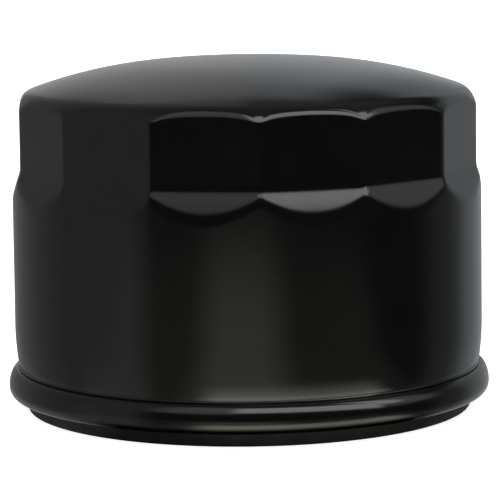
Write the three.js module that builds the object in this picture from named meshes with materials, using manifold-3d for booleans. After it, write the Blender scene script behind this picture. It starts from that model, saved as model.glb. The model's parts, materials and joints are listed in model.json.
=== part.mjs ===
// A short spin-on oil filter for a small engine. A drawn steel can is double-seamed onto a pressed lid, and
// holds the threaded base plate, the anti-drain valve, the pleated paper element with its end caps and centre
// tube, the bypass valve and the leaf spring that presses them all together.
// Millimetres, +Z up. The origin is the centre of the gasket's sealing face, on which the filter stands.
// Outlines of turned pieces are lists of [radius, height].

import * as THREE from 'three';
import { mergeVertices } from 'three/addons/utils/BufferGeometryUtils.js';
import Module from 'manifold-3d';

const wasm = await Module();
wasm.setup();

const degrees = (angle) => (angle * Math.PI) / 180;

// Sheet steel, and how finely round pieces are faceted.
const SHEET = 0.45;
const FIT = 0.1; // gap between the rolled layers of the seam
const SHELL_SIDES = 56;
const INNER_SIDES = 24;
const TURN_START = degrees(3); // a corner between two wrench flats lies here, from -Y towards +X

// Can: a crowned top, a straight wall that necks in above the seam, and pressed wrench flats.
const CROWN_HEIGHT = 55.0;
const CROWN_ARC = 192; // shallow arc over the middle of the crown
const CROWN_EDGE = 14.2; // radius at which the steeper shoulder arc takes over
const SHOULDER_ARC = 75.5;
const KNUCKLE = 2.2;
const WALL_RADIUS = 36.8;
const WALL_FOOT_RADIUS = 36.95;
const WALL_FOOT = 13.6;
const NECK_RADIUS = 36.5;
const NECK_TOP = 7.3;
const FLAT_COUNT = 14;
const FLAT_APOTHEM = 35.7;
const FLAT_FOOT = 37.9; // lower edge of the flats, where they slope back out to the wall
const FLAT_SLOPE = 0.35; // radius gained for each millimetre below the flats

// Double seam, from the inside out: lid wall, can wall, lid hook, can hook, lid skirt.
const SEAM_RADIUS = 38.1;
const SEAM_FOOT = 2.25;
const SEAM_TOP = 6.7;
const CAN_WALL_INSIDE = NECK_RADIUS - SHEET;
const LID_HOOK_INSIDE = NECK_RADIUS + FIT;
const LID_HOOK_OUTSIDE = LID_HOOK_INSIDE + 0.4;
const CAN_HOOK_INSIDE = LID_HOOK_OUTSIDE + FIT;
const CAN_HOOK_OUTSIDE = CAN_HOOK_INSIDE + 0.4;
const CAN_HOOK_TOP = 4.9;
const CAN_HOOK_FOOT = SEAM_FOOT + SHEET + FIT;
const COMPOUND_DEPTH = 0.6; // sealant lying on the can's hook
const LID_WALL_OUTSIDE = CAN_WALL_INSIDE - FIT;
const LID_WALL_INSIDE = LID_WALL_OUTSIDE - SHEET;
const CURL_UNDERSIDE = SEAM_TOP - SHEET - 0.1;

// Lid, with the channel that holds the gasket, and the plate behind it.
const LID_OPENING = 24;
const CHANNEL_INSIDE = 30.6;
const CHANNEL_ROOF = 4.5;
const LID_PANEL = 2.6;
const GASKET_INSIDE = 31.0;
const GASKET_OUTSIDE = 35.1;
const GASKET_CHAMFER = 0.3;

const PLATE_FOOT = 3.2;
const PLATE_THICKNESS = 3.0;
const PLATE_RIM_RADIUS = 34.9;
const PLATE_STEP_RADIUS = 29.4;
const PLATE_RIM_LIFT = 1.9;
const STUD_BORE = 8.75; // crest radius of the 3/4 inch stud thread
const HUB_RADIUS = 11.3;
const HUB_TOP = 11.5;
const INLET_COUNT = 8;
const INLET_RADIUS = 2.75;
const INLET_CIRCLE = 18;

// Anti-drain valve: a rubber sleeve on the hub, with a cone whose lip rests outside the inlets.
const SLEEVE_INSIDE = 11.6;
const SLEEVE_OUTSIDE = 13.2;
const SLEEVE_FOOT = 7.4;
const BEAD_TOP = 12.5;
const LIP_RADIUS = 25.2;
const LIP_FOOT = 6.45;
const CONE_THICKNESS = 1.2;

// Element: two end caps, potted to a pleated strip of paper around a perforated tube.
const ELEMENT_FOOT = 12.8;
const ELEMENT_TOP = 42.7;
const CAP_SHEET = 0.5;
const CAP_RADIUS = 32.8;
const CAP_RIM = 3.2;
const CAP_BORE = 9.8;
const POTTING_DEPTH = 0.8;
const TUBE_INSIDE = 12.0;
const TUBE_OUTSIDE = 12.6;
const PLEAT_COUNT = 44;
const PLEAT_INSIDE = 13.6;
const PLEAT_OUTSIDE = 30.8;
const PAPER = 0.7;
const STRIP_END_ANGLE = degrees(1.1);
const CLIP_HALF_WIDTH = 1.8;
const CLIP_DEPTH = 3.2;
const CLIP_SHEET = 0.4;
const TUBE_ROWS = 3;
const TUBE_HOLES_ROUND = 8;
const TUBE_HOLE_RADIUS = 2;
const PIECE_GAP = 0.3; // between pieces that rest on each other

// Bypass valve, hung in the top of the centre tube.
const SEAT_FOOT = 44.9;
const SEAT_THICKNESS = 0.6;
const SEAT_RADIUS = 12.2;
const ORIFICE = 5.2;
const CAGE_OUTSIDE = 9.0;
const CAGE_DEPTH = 12;
const CAGE_WINDOWS = 3;
const CAGE_DRAIN = 3;
const POPPET_RADIUS = 7.2;
const STEM_RADIUS = 1.6;
const BYPASS_WIRE = 0.9;
const BYPASS_COIL = 5;
const BYPASS_TURNS = 4.5;

// Leaf spring between the bypass seat and the inside of the crown.
const LEAF_COUNT = 4;
const LEAF_SHEET = 0.6;
const LEAF_WIDTH = 9;
const LEAF_REACH = 24;
const LEAF_HUB_RADIUS = 11.5;
const LEAF_HUB_BORE = 6;

const FINISHES = {
  black_paint: { color: 0x0e0e0f, roughness: 0.35, metalness: 0.0 },
  black_rubber: { color: 0x18181a, roughness: 0.8, metalness: 0.0 },
  valve_rubber: { color: 0x1d1c1c, roughness: 0.6, metalness: 0.0 },
  plated_steel: { color: 0xb9bcc0, roughness: 0.35, metalness: 1.0 },
  tin_plate: { color: 0xc9cbcd, roughness: 0.28, metalness: 1.0 },
  spring_steel: { color: 0x7c8084, roughness: 0.4, metalness: 1.0 },
  filter_paper: { color: 0xc9a25e, roughness: 0.95, metalness: 0.0 },
  potting: { color: 0x3b3a36, roughness: 0.7, metalness: 0.0 },
};

// A closed mesh in the form that the solid library reads, with its faces turned outwards.
function toSolid(source) {
  source.deleteAttribute('normal');
  source.deleteAttribute('uv');
  const merged = mergeVertices(source, 1e-4);
  const corners = merged.index.array;
  const points = merged.attributes.position.array;
  const kept = [];
  for (let i = 0; i < corners.length; i += 3) {
    const [a, b, c] = corners.subarray(i, i + 3);
    if (a !== b && b !== c && c !== a) kept.push(a, b, c);
  }
  if (signedVolume(points, kept) < 0) kept.reverse();
  return new wasm.Manifold(
    new wasm.Mesh({ numProp: 3, vertProperties: new Float32Array(points), triVerts: new Uint32Array(kept) }),
  );
}

function signedVolume(points, corners) {
  const corner = corners.map((i) => new THREE.Vector3().fromArray(points, 3 * i));
  let volume = 0;
  for (let i = 0; i < corner.length; i += 3) {
    volume += corner[i].dot(corner[i + 1].clone().cross(corner[i + 2])) / 6;
  }
  return volume;
}

function toGeometry(solid) {
  const mesh = solid.getMesh();
  const geometry = new THREE.BufferGeometry();
  geometry.setAttribute('position', new THREE.BufferAttribute(new Float32Array(mesh.vertProperties), 3));
  geometry.setIndex(new THREE.BufferAttribute(new Uint32Array(mesh.triVerts), 1));
  geometry.computeVertexNormals();
  return geometry;
}

// A piece turned about Z from its closed outline.
function turned(outline, sides = INNER_SIDES) {
  const loop = [...outline, outline[0]].map(([radius, height]) => new THREE.Vector2(radius, height));
  return toSolid(new THREE.LatheGeometry(loop, sides, TURN_START, 2 * Math.PI).rotateX(Math.PI / 2));
}

function washer(inside, outside, foot, top, sides) {
  return turned([[inside, foot], [outside, foot], [outside, top], [inside, top]], sides);
}

// A plate of constant thickness, from its outline in X and Y.
function plate(outline, foot, top) {
  const shape = new THREE.Shape(outline.map(([x, y]) => new THREE.Vector2(x, y)));
  const slab = new THREE.ExtrudeGeometry(shape, { depth: top - foot, bevelEnabled: false });
  return toSolid(slab.translate(0, 0, foot));
}

// A copy of a geometry at each of count equal steps about Z, starting at the first angle.
function aroundAxis(count, first, make) {
  return Array.from({ length: count }, (_, i) => make().rotateZ(first + (i * 2 * Math.PI) / count));
}

function cutAll(solid, cutters) {
  return cutters.reduce((rest, cutter) => rest.subtract(toSolid(cutter)), solid);
}

const polar = (radius, angle) => [radius * Math.sin(angle), -radius * Math.cos(angle)];

// Centre of the shoulder arc, which runs on smoothly from the crown's arc.
const crownEdgeAngle = Math.asin(CROWN_EDGE / CROWN_ARC);
const shoulderCentreRadius = CROWN_EDGE - SHOULDER_ARC * Math.sin(crownEdgeAngle);
const shoulderCentreHeight = CROWN_HEIGHT - CROWN_ARC + (CROWN_ARC - SHOULDER_ARC) * Math.cos(crownEdgeAngle);

function domeHeight(radius) {
  if (radius < CROWN_EDGE) return CROWN_HEIGHT - CROWN_ARC + Math.sqrt(CROWN_ARC ** 2 - radius ** 2);
  return shoulderCentreHeight + Math.sqrt(SHOULDER_ARC ** 2 - (radius - shoulderCentreRadius) ** 2);
}

// The can's outline from its axis down to the seam, moved in by depth for the inside of the sheet.
function canOutline(depth) {
  const knuckle = KNUCKLE - depth;
  const centre = WALL_RADIUS - KNUCKLE;
  const reach = SHOULDER_ARC - KNUCKLE;
  const height = shoulderCentreHeight + Math.sqrt(reach ** 2 - (centre - shoulderCentreRadius) ** 2);
  const crown = [0, 9, 18, 26, 32].map((radius) => [radius, domeHeight(radius) - depth]);
  const turn = [66, 45, 22, 0].map(degrees).map((angle) => [
    centre + knuckle * Math.cos(angle),
    height + knuckle * Math.sin(angle),
  ]);
  return [...crown, ...turn, [WALL_FOOT_RADIUS - depth, WALL_FOOT], [NECK_RADIUS - depth, NECK_TOP]];
}

// The space inside the die that presses the flats, for the outside or the inside of the sheet.
function flatsDie(apothem) {
  const corner = 1 / Math.cos(Math.PI / FLAT_COUNT);
  const wideFoot = FLAT_FOOT - (SEAM_RADIUS + 4 - FLAT_APOTHEM) / FLAT_SLOPE;
  const wide = (apothem + (FLAT_FOOT - wideFoot) * FLAT_SLOPE) * corner;
  const top = CROWN_HEIGHT + 1;
  return turned(
    [[0, -2], [wide, -2], [wide, wideFoot], [apothem * corner, FLAT_FOOT], [apothem * corner, top], [0, top]],
    FLAT_COUNT,
  );
}

function can() {
  const outside = [
    ...canOutline(0),
    [NECK_RADIUS, CAN_HOOK_FOOT + SHEET],
    [CAN_HOOK_INSIDE, CAN_HOOK_FOOT + SHEET],
    [CAN_HOOK_INSIDE, CAN_HOOK_TOP],
    [CAN_HOOK_OUTSIDE, CAN_HOOK_TOP],
    [CAN_HOOK_OUTSIDE, CAN_HOOK_FOOT],
    [0, CAN_HOOK_FOOT],
  ];
  const inside = [...canOutline(SHEET), [CAN_WALL_INSIDE, 0], [0, 0]];
  return turned(outside, SHELL_SIDES)
    .intersect(flatsDie(FLAT_APOTHEM))
    .subtract(turned(inside, SHELL_SIDES).intersect(flatsDie(FLAT_APOTHEM - SHEET)));
}

function seamingLid() {
  const skirtInside = SEAM_RADIUS - 0.5;
  const curl = 0.6; // rounding of the roll's outer edges
  const channelBack = CHANNEL_INSIDE - SHEET;
  return turned([
    [LID_OPENING, LID_PANEL],
    [CHANNEL_INSIDE, LID_PANEL],
    [CHANNEL_INSIDE, CHANNEL_ROOF],
    [LID_WALL_INSIDE, CHANNEL_ROOF],
    [LID_WALL_INSIDE, SEAM_FOOT],
    [SEAM_RADIUS - curl, SEAM_FOOT],
    [SEAM_RADIUS, SEAM_FOOT + curl],
    [SEAM_RADIUS, SEAM_TOP - curl],
    [SEAM_RADIUS - curl, SEAM_TOP],
    [LID_HOOK_INSIDE, SEAM_TOP],
    [LID_HOOK_INSIDE, CAN_HOOK_FOOT + SHEET + 0.2],
    [LID_HOOK_OUTSIDE, CAN_HOOK_FOOT + SHEET + 0.2],
    [LID_HOOK_OUTSIDE, CURL_UNDERSIDE],
    [skirtInside, CURL_UNDERSIDE],
    [skirtInside, SEAM_FOOT + SHEET],
    [LID_WALL_OUTSIDE, SEAM_FOOT + SHEET],
    [LID_WALL_OUTSIDE, CHANNEL_ROOF + SHEET],
    [channelBack, CHANNEL_ROOF + SHEET],
    [channelBack, LID_PANEL + SHEET],
    [LID_OPENING, LID_PANEL + SHEET],
  ], SHELL_SIDES);
}

// The sealant that lies on the can's hook, inside the seam.
function seamCompound() {
  const foot = CAN_HOOK_TOP + FIT;
  return washer(CAN_HOOK_INSIDE, CAN_HOOK_OUTSIDE, foot, foot + COMPOUND_DEPTH, SHELL_SIDES);
}

function baseGasket() {
  const top = CHANNEL_ROOF - FIT;
  return turned([
    [GASKET_INSIDE + GASKET_CHAMFER, 0],
    [GASKET_OUTSIDE - GASKET_CHAMFER, 0],
    [GASKET_OUTSIDE, GASKET_CHAMFER],
    [GASKET_OUTSIDE, top],
    [GASKET_INSIDE, top],
    [GASKET_INSIDE, GASKET_CHAMFER],
  ], SHELL_SIDES);
}

function basePlate() {
  const top = PLATE_FOOT + PLATE_THICKNESS;
  const body = turned([
    [STUD_BORE, PLATE_FOOT],
    [PLATE_STEP_RADIUS, PLATE_FOOT],
    [PLATE_STEP_RADIUS, PLATE_FOOT + PLATE_RIM_LIFT],
    [PLATE_RIM_RADIUS, PLATE_FOOT + PLATE_RIM_LIFT],
    [PLATE_RIM_RADIUS, top + PLATE_RIM_LIFT],
    [PLATE_STEP_RADIUS - 1, top + PLATE_RIM_LIFT],
    [PLATE_STEP_RADIUS - 3, top],
    [HUB_RADIUS, top],
    [HUB_RADIUS, HUB_TOP],
    [STUD_BORE, HUB_TOP],
  ]);
  const inlet = () => new THREE.CylinderGeometry(INLET_RADIUS, INLET_RADIUS, 2 * top, 12)
    .rotateX(Math.PI / 2)
    .translate(INLET_CIRCLE, 0, top);
  return cutAll(body, aroundAxis(INLET_COUNT, 0, inlet));
}

function antiDrainValve() {
  const shoulder = BEAD_TOP - 1.1;
  return turned([
    [SLEEVE_INSIDE, SLEEVE_FOOT],
    [SLEEVE_OUTSIDE, SLEEVE_FOOT],
    [SLEEVE_OUTSIDE, shoulder - CONE_THICKNESS],
    [LIP_RADIUS - 1.4, LIP_FOOT + 0.2],
    [LIP_RADIUS - 0.7, LIP_FOOT],
    [LIP_RADIUS, LIP_FOOT + 0.6],
    [SLEEVE_OUTSIDE + 1, shoulder],
    [SLEEVE_OUTSIDE, BEAD_TOP],
    [SLEEVE_INSIDE, BEAD_TOP],
  ]);
}

// An end cap is a pressed dish with its rim turned in over the pleats, facing up or down.
function endCap(back, up) {
  const rim = back + up * CAP_RIM;
  const face = back + up * CAP_SHEET;
  return turned([
    [CAP_BORE, back],
    [CAP_RADIUS, back],
    [CAP_RADIUS, rim],
    [CAP_RADIUS - CAP_SHEET, rim],
    [CAP_RADIUS - CAP_SHEET, face],
    [CAP_BORE, face],
  ]);
}

const potFoot = ELEMENT_FOOT + CAP_SHEET + PIECE_GAP;
const potTop = ELEMENT_TOP - CAP_SHEET - PIECE_GAP;
const pleatFoot = potFoot + POTTING_DEPTH + PIECE_GAP;
const pleatTop = potTop - POTTING_DEPTH - PIECE_GAP;

function pottingRing(foot) {
  return washer(TUBE_OUTSIDE + 0.4, CAP_RADIUS - CAP_SHEET - 0.5, foot, foot + POTTING_DEPTH);
}

// The paper runs in and out from one end of the strip round to the other, both at the outside.
function pleatedMedia() {
  const folds = 2 * PLEAT_COUNT;
  const middle = [];
  for (let i = 0; i <= folds; i += 1) {
    let angle = (i * 2 * Math.PI) / folds;
    if (i === 0) angle += STRIP_END_ANGLE;
    if (i === folds) angle -= STRIP_END_ANGLE;
    middle.push(new THREE.Vector2(...polar(i % 2 ? PLEAT_INSIDE : PLEAT_OUTSIDE, angle)));
  }
  const side = (hand) => middle.map((point, i) => {
    const before = middle[Math.max(i - 1, 0)];
    const after = middle[Math.min(i + 1, folds)];
    const into = point.clone().sub(before);
    const out = after.clone().sub(point);
    const first = i === 0 ? out.clone() : into;
    const second = i === folds ? into.clone() : out;
    const normal = new THREE.Vector2(-first.y, first.x).normalize()
      .add(new THREE.Vector2(-second.y, second.x).normalize());
    const offset = normal.clone().multiplyScalar(PAPER / Math.max(normal.lengthSq(), 0.4));
    return point.clone().addScaledVector(offset, hand).toArray();
  });
  return plate([...side(1), ...side(-1).reverse()], pleatFoot, pleatTop);
}

// A folded strip that closes on the two ends of the paper.
function mediaClip() {
  const back = -(PLEAT_OUTSIDE + 1.2);
  const front = back + CLIP_DEPTH;
  const inner = CLIP_HALF_WIDTH - CLIP_SHEET;
  return plate([
    [-CLIP_HALF_WIDTH, back],
    [CLIP_HALF_WIDTH, back],
    [CLIP_HALF_WIDTH, front],
    [inner, front],
    [inner, back + CLIP_SHEET],
    [-inner, back + CLIP_SHEET],
    [-inner, front],
    [-CLIP_HALF_WIDTH, front],
  ], pleatFoot, pleatTop);
}

function centreTube() {
  const foot = ELEMENT_FOOT + CAP_SHEET + PIECE_GAP;
  const top = ELEMENT_TOP - CAP_SHEET - PIECE_GAP;
  const pitch = (top - foot) / TUBE_ROWS;
  let tube = washer(TUBE_INSIDE, TUBE_OUTSIDE, foot, top);
  for (let row = 0; row < TUBE_ROWS; row += 1) {
    const height = foot + (row + 0.5) * pitch;
    const drill = () => new THREE.CylinderGeometry(TUBE_HOLE_RADIUS, TUBE_HOLE_RADIUS, 6, 8)
      .rotateZ(Math.PI / 2)
      .translate(TUBE_OUTSIDE, 0, height);
    tube = cutAll(tube, aroundAxis(TUBE_HOLES_ROUND, (row % 2) * (Math.PI / TUBE_HOLES_ROUND), drill));
  }
  return tube;
}

function bypassSeal() {
  return washer(CAP_BORE + 0.2, SEAT_RADIUS - 0.2, ELEMENT_TOP + PIECE_GAP, ELEMENT_TOP + PIECE_GAP + 0.8);
}

const cageFlange = ELEMENT_TOP + 2 * PIECE_GAP + 0.8;
const cageFoot = cageFlange + CAP_SHEET - CAGE_DEPTH;

// A cup with a flange at its mouth, windows in its wall and a drain in its floor.
function bypassCage() {
  const inside = CAGE_OUTSIDE - CAP_SHEET;
  const cup = turned([
    [CAGE_DRAIN, cageFoot],
    [CAGE_OUTSIDE, cageFoot],
    [CAGE_OUTSIDE, cageFlange],
    [SEAT_RADIUS, cageFlange],
    [SEAT_RADIUS, cageFlange + CAP_SHEET],
    [inside, cageFlange + CAP_SHEET],
    [inside, cageFoot + CAP_SHEET],
    [CAGE_DRAIN, cageFoot + CAP_SHEET],
  ]);
  const window = () => new THREE.BoxGeometry(4, 7, CAGE_DEPTH - 5)
    .translate(CAGE_OUTSIDE, 0, (cageFoot + cageFlange) / 2);
  return cutAll(cup, aroundAxis(CAGE_WINDOWS, degrees(30), window));
}

function bypassSeat() {
  return washer(ORIFICE, SEAT_RADIUS, SEAT_FOOT, SEAT_FOOT + SEAT_THICKNESS);
}

// The poppet's rubber facing meets the seat from below, and its disc carries a stem inside the spring.
const FACING = 0.8;
const POPPET_DISC = 0.8;
const STEM_LENGTH = 4;
const facingTop = SEAT_FOOT - PIECE_GAP;
const poppetTop = facingTop - FACING - PIECE_GAP;

function poppetFacing() {
  return turned([
    [0, facingTop - FACING],
    [POPPET_RADIUS - 0.2, facingTop - FACING],
    [POPPET_RADIUS - 0.2, facingTop],
    [0, facingTop],
  ]);
}

function bypassPoppet() {
  return turned([
    [0, poppetTop],
    [POPPET_RADIUS, poppetTop],
    [POPPET_RADIUS, poppetTop - POPPET_DISC],
    [STEM_RADIUS, poppetTop - POPPET_DISC],
    [STEM_RADIUS, poppetTop - POPPET_DISC - STEM_LENGTH],
    [0, poppetTop - POPPET_DISC - STEM_LENGTH],
  ]);
}

class Coil extends THREE.Curve {
  constructor(radius, foot, top, turns) {
    super();
    Object.assign(this, { radius, foot, top, turns });
  }

  getPoint(t) {
    const [x, y] = polar(this.radius, 2 * Math.PI * this.turns * t);
    return new THREE.Vector3(x, y, this.foot + (this.top - this.foot) * t);
  }
}

function bypassSpring() {
  const foot = cageFoot + CAP_SHEET + PIECE_GAP + BYPASS_WIRE / 2;
  const top = poppetTop - POPPET_DISC - PIECE_GAP - BYPASS_WIRE / 2;
  const wire = new THREE.Shape().absarc(0, 0, BYPASS_WIRE / 2, 0, 2 * Math.PI);
  return toSolid(new THREE.ExtrudeGeometry(wire, {
    curveSegments: 6,
    steps: 16 * BYPASS_TURNS,
    bevelEnabled: false,
    extrudePath: new Coil(BYPASS_COIL, foot, top, BYPASS_TURNS),
  }));
}

// A pressed cross: a ring on the bypass seat, and four leaves that rise to the inside of the crown.
function retainingSpring() {
  const foot = SEAT_FOOT + SEAT_THICKNESS + PIECE_GAP;
  const tip = domeHeight(LEAF_REACH) - SHEET - PIECE_GAP - 0.2;
  const bend = LEAF_HUB_RADIUS - 1.5;
  const leaf = () => {
    const side = new THREE.Shape([
      [bend - 2, foot],
      [bend, foot],
      [LEAF_REACH - 3, tip - LEAF_SHEET],
      [LEAF_REACH, tip - LEAF_SHEET - 0.4],
      [LEAF_REACH, tip - 0.4],
      [LEAF_REACH - 3, tip],
      [bend, foot + LEAF_SHEET],
      [bend - 2, foot + LEAF_SHEET],
    ].map(([x, y]) => new THREE.Vector2(x, y)));
    return new THREE.ExtrudeGeometry(side, { depth: LEAF_WIDTH, bevelEnabled: false })
      .rotateX(Math.PI / 2)
      .translate(0, LEAF_WIDTH / 2, 0);
  };
  const hub = washer(LEAF_HUB_BORE, LEAF_HUB_RADIUS, foot, foot + LEAF_SHEET);
  const leaves = aroundAxis(LEAF_COUNT, degrees(45), leaf);
  return leaves.reduce((spring, one) => spring.add(toSolid(one)), hub);
}

const filter = new THREE.Group();

function add(name, solid, finish) {
  const mesh = new THREE.Mesh(toGeometry(solid), new THREE.MeshStandardMaterial(FINISHES[finish]));
  mesh.name = name;
  filter.add(mesh);
}

// Outer shell and seam.
add('can', can(), 'black_paint');
add('seaming_lid', seamingLid(), 'black_paint');
add('seam_compound', seamCompound(), 'potting');
add('base_plate', basePlate(), 'plated_steel');
add('base_gasket', baseGasket(), 'black_rubber');
add('anti_drain_valve', antiDrainValve(), 'valve_rubber');

// Filter element.
add('lower_end_cap', endCap(ELEMENT_FOOT, 1), 'tin_plate');
add('lower_potting', pottingRing(potFoot), 'potting');
add('pleated_media', pleatedMedia(), 'filter_paper');
add('media_clip', mediaClip(), 'tin_plate');
add('centre_tube', centreTube(), 'tin_plate');
add('upper_potting', pottingRing(potTop - POTTING_DEPTH), 'potting');
add('upper_end_cap', endCap(ELEMENT_TOP, -1), 'tin_plate');

// Bypass valve and the spring above it.
add('bypass_seal', bypassSeal(), 'black_rubber');
add('bypass_cage', bypassCage(), 'tin_plate');
add('bypass_seat', bypassSeat(), 'tin_plate');
add('poppet_facing', poppetFacing(), 'black_rubber');
add('bypass_poppet', bypassPoppet(), 'plated_steel');
add('bypass_spring', bypassSpring(), 'spring_steel');
add('retaining_spring', retainingSpring(), 'spring_steel');

export default filter;
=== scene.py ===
"""The looks of a short spin-on oil filter: black enamelled can, rolled seam and rubber gasket, with the
base plate, valve, pleated element and springs inside.

Outlines are lists of (radius, height) in millimetres. Meshes are built from them in metres, in the
frame's axes. Angles round the filter start at -Y and grow towards +X.
"""

import json
import math

import bmesh
import bpy
import numpy as np
from mathutils import Matrix, Vector


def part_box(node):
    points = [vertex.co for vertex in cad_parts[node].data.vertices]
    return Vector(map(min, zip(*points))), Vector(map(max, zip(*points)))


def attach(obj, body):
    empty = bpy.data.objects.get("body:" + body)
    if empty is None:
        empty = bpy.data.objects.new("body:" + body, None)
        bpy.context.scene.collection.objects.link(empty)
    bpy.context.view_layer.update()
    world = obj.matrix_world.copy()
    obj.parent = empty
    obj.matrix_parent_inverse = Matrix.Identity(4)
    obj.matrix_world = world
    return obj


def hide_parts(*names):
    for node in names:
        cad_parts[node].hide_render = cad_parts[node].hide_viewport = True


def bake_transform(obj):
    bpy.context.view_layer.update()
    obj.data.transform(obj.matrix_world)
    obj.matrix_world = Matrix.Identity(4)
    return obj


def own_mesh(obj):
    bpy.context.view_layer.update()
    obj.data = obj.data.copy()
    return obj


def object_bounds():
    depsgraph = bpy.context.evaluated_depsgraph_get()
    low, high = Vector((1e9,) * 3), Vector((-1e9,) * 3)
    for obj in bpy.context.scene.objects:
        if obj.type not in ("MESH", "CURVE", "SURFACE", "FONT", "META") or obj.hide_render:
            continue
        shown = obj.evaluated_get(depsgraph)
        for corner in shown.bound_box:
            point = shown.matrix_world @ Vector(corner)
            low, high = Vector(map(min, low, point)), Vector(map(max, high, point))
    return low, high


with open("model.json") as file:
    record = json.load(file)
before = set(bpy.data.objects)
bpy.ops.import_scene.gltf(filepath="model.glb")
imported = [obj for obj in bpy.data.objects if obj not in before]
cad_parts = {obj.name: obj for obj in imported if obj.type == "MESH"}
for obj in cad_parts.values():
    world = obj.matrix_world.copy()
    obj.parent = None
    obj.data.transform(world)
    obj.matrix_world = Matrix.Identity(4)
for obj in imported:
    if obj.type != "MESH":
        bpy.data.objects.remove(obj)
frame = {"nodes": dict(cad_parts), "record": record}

MM = 0.001
cad_box = [list(corner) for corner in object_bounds()]

SLOT_OF = {part["node"]: part["material_slot"] for part in frame["record"]["subparts"]}
BODY_OF = {node: body for body, nodes in frame["record"]["behaviour"]["bodies"].items() for node in nodes}


def ring_of(node):
    """A turned node's inside radius, outside radius, foot and top, in millimetres."""
    points = np.array([v.co for v in frame["nodes"][node].data.vertices], float) / MM
    radii = np.hypot(points[:, 0], points[:, 1])
    return radii.min(), radii.max(), points[:, 2].min(), points[:, 2].max()


# ---- Mesh building -------------------------------------------------------------------------------

WELD = 1e-7  # distance in metres within which points are one
SHARP = 35  # degrees by which a sharp edge turns
CORNER_SHARE = 0.48  # the most that a rounded corner takes of a side
STRAIGHT = math.radians(88)  # half the angle at a point where an outline hardly turns


def shown(name, data):
    thing = bpy.data.objects.new(name, data)
    bpy.context.scene.collection.objects.link(thing)
    return thing


def finished(name, bm, sharp):
    """A piece from a mesh, welded and shaded smooth, but for edges that turn by more than sharp degrees."""
    bmesh.ops.remove_doubles(bm, verts=bm.verts, dist=WELD)
    loose = [edge for edge in bm.edges if not edge.link_faces]
    bmesh.ops.delete(bm, geom=loose, context="EDGES")
    bmesh.ops.recalc_face_normals(bm, faces=bm.faces)
    mesh = bpy.data.meshes.new(name)
    bm.to_mesh(mesh)
    bm.free()
    mesh.shade_smooth()
    mesh.set_sharp_from_angle(angle=math.radians(sharp))
    return shown(name, mesh)


def skin(name, loops, ends="joined", sharp=SHARP):
    """A mesh over a row of closed loops.

    The row's ends are joined to each other, capped, or welded where they meet.
    """
    bm = bmesh.new()
    rows = [[bm.verts.new(Vector(point) * MM) for point in loop] for loop in loops]
    for one, other in zip(rows, rows[1:] + (rows[:1] if ends == "joined" else [])):
        for i, corner in enumerate(one):
            bm.faces.new((one[i - 1], other[i - 1], other[i], corner))
    if ends == "capped":
        bm.faces.new(rows[0])
        bm.faces.new(rows[-1])
    return finished(name, bm, sharp)


def around(angle, radius, height):
    """The point at an angle round the filter."""
    return radius * math.sin(angle), -radius * math.cos(angle), height


def turned(name, outline, sides=128):
    """A closed outline turned about Z."""
    turns = np.arange(sides) * 2 * math.pi / sides
    return skin(name, [[around(a, r, z) for r, z in outline] for a in turns])


def arc(centre, across, up, start, end, count):
    """Points on an ellipse, from one angle to another, in degrees from the outward direction."""
    return [(centre[0] + across * math.cos(a), centre[1] + up * math.sin(a))
            for a in np.radians(np.linspace(start, end, count))]


def rounded(outline, radius=0.2, steps=5):
    """A closed outline with its corners turned into arcs. A point's third number is a radius of its own."""
    points = [np.array(point[:2], float) for point in outline]
    result = []
    for i, corner in enumerate(points):
        own = outline[i][2] if len(outline[i]) > 2 else radius
        back, ahead = points[i - 1] - corner, points[(i + 1) % len(points)] - corner
        room = CORNER_SHARE * min(np.linalg.norm(back), np.linalg.norm(ahead))
        back, ahead = back / np.linalg.norm(back), ahead / np.linalg.norm(ahead)
        half = math.acos(np.clip(back @ ahead, -1, 1)) / 2
        if own <= 0 or half > STRAIGHT:
            result.append(tuple(corner))
            continue
        reach = min(own / math.tan(half), room)
        middle = (back + ahead) / np.linalg.norm(back + ahead)
        centre = corner + middle * reach / math.cos(half)
        start, end = corner + back * reach - centre, corner + ahead * reach - centre
        turn = math.atan2(start[0] * end[1] - start[1] * end[0], start @ end)
        for a in np.linspace(0, turn, steps + 1):
            result.append((centre[0] + start[0] * math.cos(a) - start[1] * math.sin(a),
                           centre[1] + start[0] * math.sin(a) + start[1] * math.cos(a)))
    return result


def combined(piece, tools, operation):
    """The piece with the tools cut out of it or joined to it.

    The tools are clear of each other, and are used up.
    """
    bm = bmesh.new()
    for tool in tools:
        bm.from_mesh(tool.data)
        bpy.data.objects.remove(tool)
    mesh = bpy.data.meshes.new("tools")
    bm.to_mesh(mesh)
    bm.free()
    all_tools = shown("tools", mesh)
    step = piece.modifiers.new("step", "BOOLEAN")
    step.operation, step.solver, step.object = operation, "EXACT", all_tools
    graph = bpy.context.evaluated_depsgraph_get()
    bm = bmesh.new()
    bm.from_object(piece, graph)
    name = piece.name
    bpy.data.objects.remove(piece)
    bpy.data.objects.remove(all_tools)
    return finished(name, bm, SHARP)


def copies_around(count, first, make):
    """What make gives, turned to count equal steps about Z."""
    pieces = []
    for i in range(count):
        piece = make()
        piece.data.transform(Matrix.Rotation(first + 2 * math.pi * i / count, 4, "Z"))
        pieces.append(piece)
    return pieces


# ---- Materials -----------------------------------------------------------------------------------

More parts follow.
